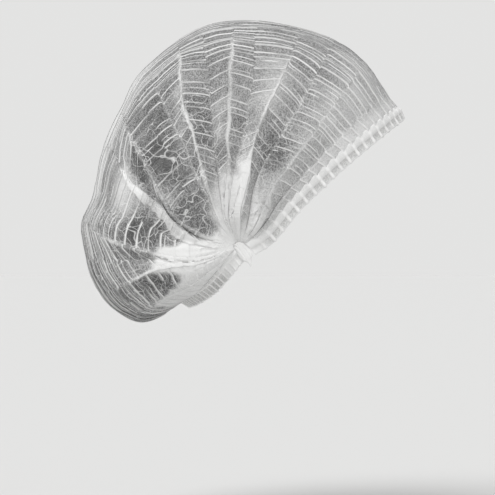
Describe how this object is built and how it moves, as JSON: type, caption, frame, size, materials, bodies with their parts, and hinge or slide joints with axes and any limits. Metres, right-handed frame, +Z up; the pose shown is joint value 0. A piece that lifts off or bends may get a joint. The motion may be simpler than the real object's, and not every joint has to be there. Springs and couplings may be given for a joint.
{
  "type": "disposable hair cover cap",
  "caption": "Pleated nonwoven bouffant cap, gathered to a weld at each ear, with an elastic hem round the head opening, in the form it takes when worn.",
  "frame": {"origin": "centre of the head opening, on the line of its edge midway between forehead and nape and midway between the ears", "axes": "+X forward, towards the forehead; +Y towards the wearer's left ear; +Z up; the opening's plane tilts 40 degrees up at the forehead"},
  "size_m": [0.2481, 0.1994, 0.2328],
  "materials": {
    "nonwoven": "thin white spunbond nonwoven, see-through where single, opaque where bunched, matt with a faint sheen",
    "hem_nonwoven": "white spunbond nonwoven folded double over the elastic and puckered by it, matt",
    "elastic": "flat white elastic, matt",
    "weld": "many layers of white nonwoven pressed and heat-sealed together, slightly glossier than the cloth"
  },
  "bodies": {
    "root": {"crown": "nonwoven", "front_hem": "hem_nonwoven", "nape_hem": "hem_nonwoven", "front_elastic": "elastic", "nape_elastic": "elastic", "ear_weld_right": "weld", "ear_weld_left": "weld"}
  },
  "joints": []
}
